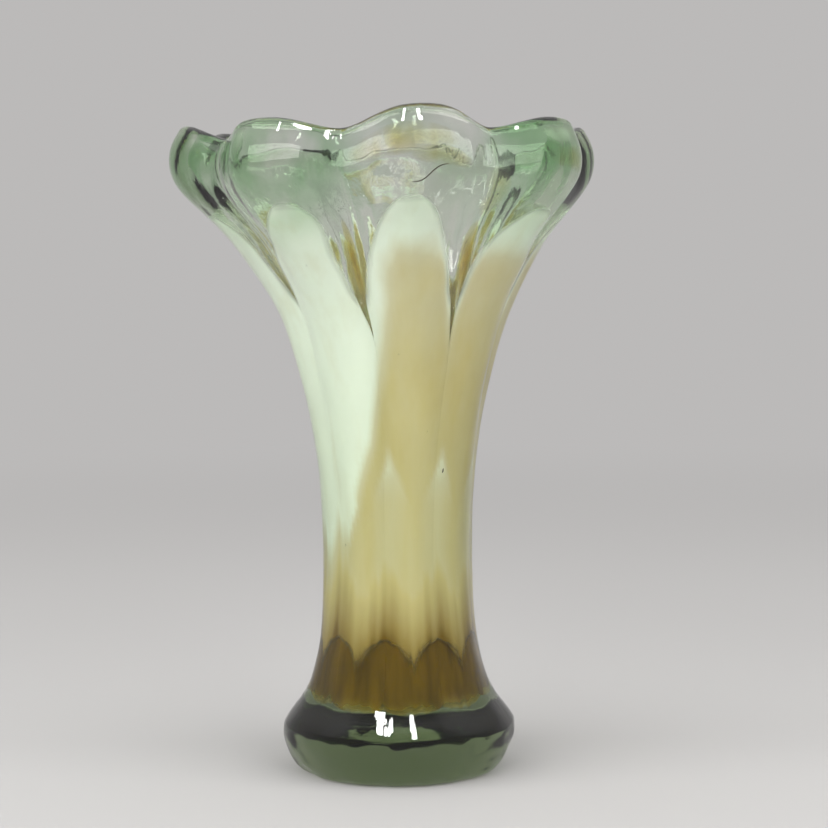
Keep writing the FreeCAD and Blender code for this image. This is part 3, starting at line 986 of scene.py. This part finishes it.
HORIZON = (0.50, 0.49, 0.485)
OVERHEAD = (1.15, 1.15, 1.14)
FROM_FRONT = (0.45, 0.45, 0.445)

# Places on a ball of radius 1 between which the light changes.
OVERHEAD_RISE = (0.3, 0.95)         # height
FRONT_REACH = (-0.05, -0.45)        # y
FRONT_RISE = (0.98, 0.80)           # height

FLOOR_HALF = 40.0
FLOOR_LEVEL = -0.0001
FLOOR_COLOUR = (0.40, 0.392, 0.388, 1.0)
FLOOR_FADE = (0.2, 1.8)

# (name, azimuth, elevation, distance, width, height, power, kind of light path that misses it)
LAMPS = [
    ("lamp_left", -24.0, 58.0, 1.6, 0.11, 0.42, 7.0, "visible_diffuse"),
    ("lamp_right", 18.0, 58.0, 1.6, 0.11, 0.42, 7.0, "visible_diffuse"),
    ("left_panel", -46.0, 18.0, 1.9, 2.8, 1.5, 76.0, "visible_glossy"),
    ("right_panel", 48.0, 18.0, 1.9, 2.4, 1.5, 57.0, "visible_glossy"),
]
LAMP_AIM_Z = 0.13

CAMERA_PLACE = (0.0111, -0.8008, 0.1841)
CAMERA_LENS_MM = 88.2
CAMERA_DOWN = 3.136                 # degrees
CAMERA_ROLL = -0.52
GLASS_BOUNCES = 24


def studio_floor():
    """Plain pale floor that melts into the backdrop's colour far away."""
    mesh = bpy.data.meshes.new("studio_floor")
    corners = [(-1.0, -1.0), (1.0, -1.0), (1.0, 1.0), (-1.0, 1.0)]
    mesh.from_pydata([(x * FLOOR_HALF, y * FLOOR_HALF, FLOOR_LEVEL) for x, y in corners], [],
                     [(0, 1, 2, 3)])
    floor = bpy.data.objects.new("studio_floor", mesh)
    bpy.context.scene.collection.objects.link(floor)
    material, nodes, links, shader = new_material("pale_paper")
    shader.inputs["Base Color"].default_value = FLOOR_COLOUR
    shader.inputs["Roughness"].default_value = 0.9
    shader.inputs["Specular IOR Level"].default_value = 0.1
    place = nodes.new("ShaderNodeTexCoord")
    length = nodes.new("ShaderNodeVectorMath")
    length.operation = "LENGTH"
    links.new(place.outputs["Object"], length.inputs[0])
    fade = eased(nodes, links, length.outputs["Value"], *FLOOR_FADE)
    glow = nodes.new("ShaderNodeEmission")
    glow.inputs["Color"].default_value = (*HORIZON, 1.0)
    mix = nodes.new("ShaderNodeMixShader")
    links.new(fade, mix.inputs["Fac"])
    links.new(shader.outputs["BSDF"], mix.inputs[1])
    links.new(glow.outputs["Emission"], mix.inputs[2])
    links.new(mix.outputs["Shader"], nodes["Material Output"].inputs["Surface"])
    mesh.materials.append(material)


def studio_world():
    """Soft light from all round, brighter overhead and dimmer from the front."""
    world = bpy.data.worlds.new("studio")
    bpy.context.scene.world = world
    world.use_nodes = True
    nodes = world.node_tree.nodes
    links = world.node_tree.links
    place = nodes.new("ShaderNodeTexCoord")
    split = nodes.new("ShaderNodeSeparateXYZ")
    links.new(place.outputs["Generated"], split.inputs["Vector"])
    overhead = eased(nodes, links, split.outputs["Z"], *OVERHEAD_RISE)
    sky = blend(nodes, links, "MIX", (*HORIZON, 1.0), (*OVERHEAD, 1.0), overhead)
    front = eased(nodes, links, split.outputs["Y"], *FRONT_REACH)
    low = eased(nodes, links, split.outputs["Z"], *FRONT_RISE)
    light = blend(nodes, links, "MIX", sky, (*FROM_FRONT, 1.0), product(nodes, links, front, low))
    links.new(light, nodes["Background"].inputs["Color"])


def soft_lamp(name, azimuth, elevation, distance, width, height, power, hidden_from):
    """Soft box that shines on the vase, unseen by the camera and by one kind of path."""
    light = bpy.data.lights.new(name, "AREA")
    light.shape = "RECTANGLE"
    light.size = width
    light.size_y = height
    light.energy = power
    lamp = bpy.data.objects.new(name, light)
    bpy.context.scene.collection.objects.link(lamp)
    turn = math.radians(azimuth)
    rise = math.radians(elevation)
    lamp.location = (distance * math.sin(turn) * math.cos(rise),
                     -distance * math.cos(turn) * math.cos(rise),
                     LAMP_AIM_Z + distance * math.sin(rise))
    lamp.rotation_mode = "XYZ"
    lamp.rotation_euler = (math.radians(90.0) - rise, 0.0, turn)
    lamp.visible_camera = False
    setattr(lamp, hidden_from, False)


def picture_camera():
    """Camera in front of the vase, a little above its middle, looking slightly down."""
    data = bpy.data.cameras.new("camera")
    data.sensor_width = 36.0
    data.lens = CAMERA_LENS_MM
    data.clip_start = 0.01
    data.clip_end = 200.0
    eye = bpy.data.objects.new("camera", data)
    bpy.context.scene.collection.objects.link(eye)
    eye.location = CAMERA_PLACE
    eye.rotation_mode = "XYZ"
    eye.rotation_euler = (math.radians(90.0 - CAMERA_DOWN), 0.0, 0.0)
    eye.rotation_euler.rotate_axis("Z", math.radians(CAMERA_ROLL))
    bpy.context.scene.camera = eye


def light_paths():
    """Enough bounces for light to cross every layer of glass."""
    settings = bpy.context.scene.cycles
    settings.max_bounces = GLASS_BOUNCES
    settings.transmission_bounces = GLASS_BOUNCES
    settings.transparent_max_bounces = GLASS_BOUNCES


def main():
    picture_camera()
    light_paths()
    studio_floor()
    studio_world()
    for lamp in LAMPS:
        soft_lamp(*lamp)
    glass_body(clear_glass_material())
    opal = opal_material()
    amber = amber_material("amber_tint_glass", DEEP_AMBER, thinnest=0.97, milky=0.6)
    stains = amber_material("amber_stain_glass", STAIN_AMBER, thinnest=0.0, milky=0.12)
    streaks = amber_material("amber_streak_glass", STREAK_AMBER, thinnest=0.5, milky=0.35)
    for number in range(RIB_COUNT):
        opal_petal(number, opal)
        amber_petal(number, amber)
    inclusions(stains, streaks, dark_glass_material())
    bpy.context.scene.view_settings.view_transform = "Standard"


main()
